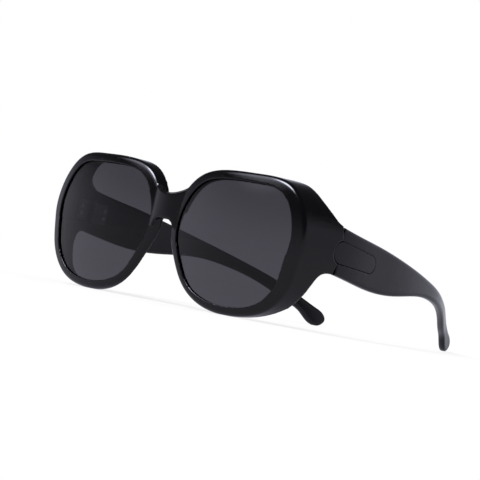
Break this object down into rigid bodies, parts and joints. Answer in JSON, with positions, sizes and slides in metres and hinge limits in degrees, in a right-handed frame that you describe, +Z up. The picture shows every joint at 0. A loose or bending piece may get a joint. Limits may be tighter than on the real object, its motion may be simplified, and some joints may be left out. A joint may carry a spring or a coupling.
{
  "type": "fitover sunglasses",
  "caption": "Wraparound fitover sunglasses with large domed lenses, deep side shields and temples that fold on riveted metal hinges.",
  "frame": {"origin": "centre of the bounding box's bottom: the glasses stand open on a table, on their rims' lower edges and their temples' tips", "axes": "+X to the wearer's left, +Y back from the lenses to the temples' tips, +Z up from the table; the front faces -Y"},
  "size_m": [0.1502, 0.1562, 0.0575],
  "materials": {
    "front_plastic": "polished black injection moulding",
    "temple_plastic": "polished black injection moulding",
    "cover_plastic": "polished black injection moulding",
    "lens_tint": "smoke-tinted polycarbonate",
    "hinge_steel": "stamped and tumbled",
    "screw_steel": "turned, bright"
  },
  "bodies": {
    "front": {"front_frame": "front_plastic", "lens_left": "lens_tint", "lens_right": "lens_tint", "front_leaf_left": "hinge_steel", "front_leaf_right": "hinge_steel", "hinge_screw_left": "screw_steel", "hinge_screw_right": "screw_steel", "front_leaf_rivets_left": "screw_steel", "front_leaf_rivets_right": "screw_steel"},
    "left_temple": {"temple_left": "temple_plastic", "hinge_cover_left": "cover_plastic", "temple_leaf_left": "hinge_steel", "temple_leaf_rivets_left": "screw_steel"},
    "right_temple": {"temple_right": "temple_plastic", "hinge_cover_right": "cover_plastic", "temple_leaf_right": "hinge_steel", "temple_leaf_rivets_right": "screw_steel"}
  },
  "joints": [
    {"name": "left_temple_fold", "type": "hinge", "parent": "front", "child": "left_temple", "pos_m": [0.0699, -0.05076, 0.03253], "axis": [0, 0.0708, 0.9975], "range_deg": [0, 80]},
    {"name": "right_temple_fold", "type": "hinge", "parent": "front", "child": "right_temple", "pos_m": [-0.0699, -0.05076, 0.03253], "axis": [0, 0.0708, 0.9975], "range_deg": [-72, 0]}
  ]
}
